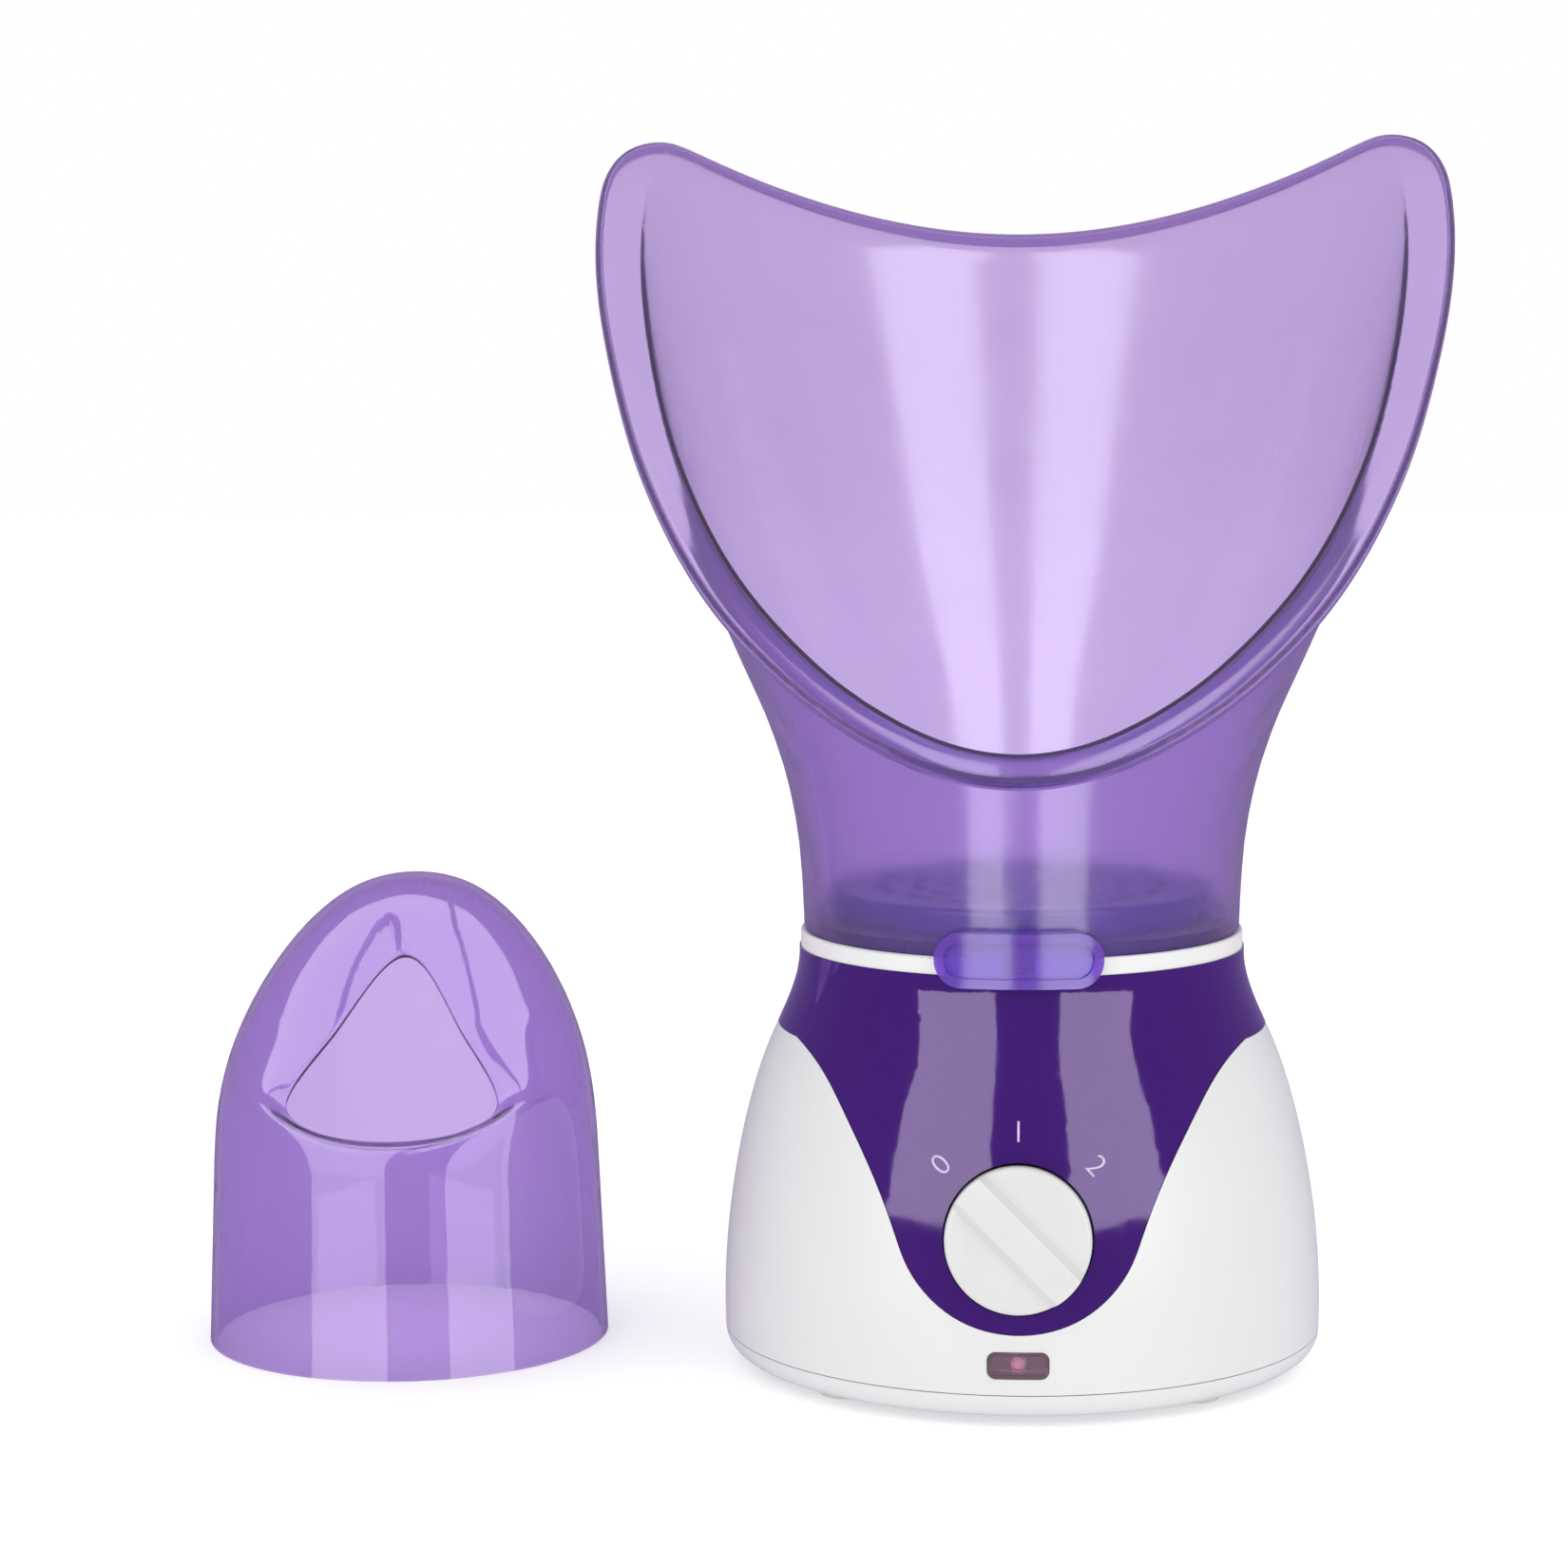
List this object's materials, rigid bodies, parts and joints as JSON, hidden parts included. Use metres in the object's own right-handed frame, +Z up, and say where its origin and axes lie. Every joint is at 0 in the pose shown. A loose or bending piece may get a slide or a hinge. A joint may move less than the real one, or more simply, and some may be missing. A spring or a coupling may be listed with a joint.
{
  "type": "facial steamer",
  "caption": "Tabletop facial steamer: round heated base with a dial, a flared see-through face hood over a water bowl, and a loose slanted nose mask beside it.",
  "frame": {"origin": "on the table, under the middle of the round base, level with the undersides of its feet", "axes": "+Z up, -Y out of the dial and the hood's open face, +X to the right of someone who faces the dial"},
  "size_m": [0.363, 0.1863, 0.3493],
  "materials": {
    "white_abs": "moulded ABS, satin gloss",
    "dark_purple_pc": "polished dark purple moulding",
    "clear_purple_pc": "polished, see-through purple polycarbonate",
    "white_ring": "moulded ABS, satin",
    "knob_abs": "fine satin moulding",
    "rubber_white": "moulded rubber",
    "zinc_steel": "zinc plated steel",
    "cast_aluminium": "pressed aluminium, satin",
    "heater_alloy": "extruded aluminium",
    "ceramic": "sintered ceramic",
    "silicone": "moulded silicone",
    "black_phenolic": "moulded phenolic",
    "brass_plate": "stamped brass",
    "pink_lens": "tinted see-through lens",
    "lamp_glass": "clear glass",
    "nylon_white": "moulded nylon",
    "lead_brown": "silicone-sleeved wire",
    "lead_blue": "silicone-sleeved wire",
    "lead_black": "silicone-sleeved wire"
  },
  "bodies": {
    "base": {"bottom_cover": "white_abs", "rubber_feet": "rubber_white", "cover_screws": "zinc_steel", "housing": "white_abs", "fascia": "dark_purple_pc", "trim_ring": "white_ring", "ring_screws": "zinc_steel", "bowl_gasket": "silicone", "water_bowl": "cast_aluminium", "heater_block": "heater_alloy", "ptc_element": "ceramic", "heater_strap": "zinc_steel", "strap_nuts": "zinc_steel", "thermostat": "black_phenolic", "thermostat_screws": "zinc_steel", "thermal_fuse": "cast_aluminium", "fuse_clip": "zinc_steel", "switch_body": "black_phenolic", "switch_terminals": "brass_plate", "switch_screws": "zinc_steel", "lamp_lens": "pink_lens", "lamp_holder": "black_phenolic", "neon_lamp": "lamp_glass", "cord_gland": "nylon_white", "cord_clamp": "nylon_white", "clamp_screws": "zinc_steel", "terminal_block": "nylon_white", "live_lead": "lead_brown", "switched_lead": "lead_black", "neutral_lead": "lead_blue"},
    "knob_and_shaft": {"knob": "knob_abs", "switch_shaft": "black_phenolic"},
    "hood": {"face_hood": "clear_purple_pc"},
    "guard": {"splash_guard": "clear_purple_pc"},
    "spare_mask": {"nose_mask": "clear_purple_pc"}
  },
  "joints": [
    {"name": "dial_turn", "type": "hinge", "parent": "base", "child": "knob_and_shaft", "pos_m": [0, -0.0825, 0.0518], "axis": [0, 0.989, -0.1478], "range_deg": [0, 90]},
    {"name": "hood_lift", "type": "slide", "parent": "base", "child": "hood", "axis": [0, 0, 1], "range_m": [0, 0.05]},
    {"name": "guard_lift", "type": "slide", "parent": "base", "child": "guard", "axis": [0, 0, 1], "range_m": [0, 0.03]},
    {"name": "mask_lift", "type": "slide", "parent": "base", "child": "spare_mask", "axis": [0, 0, 1], "range_m": [0, 0.06]}
  ]
}
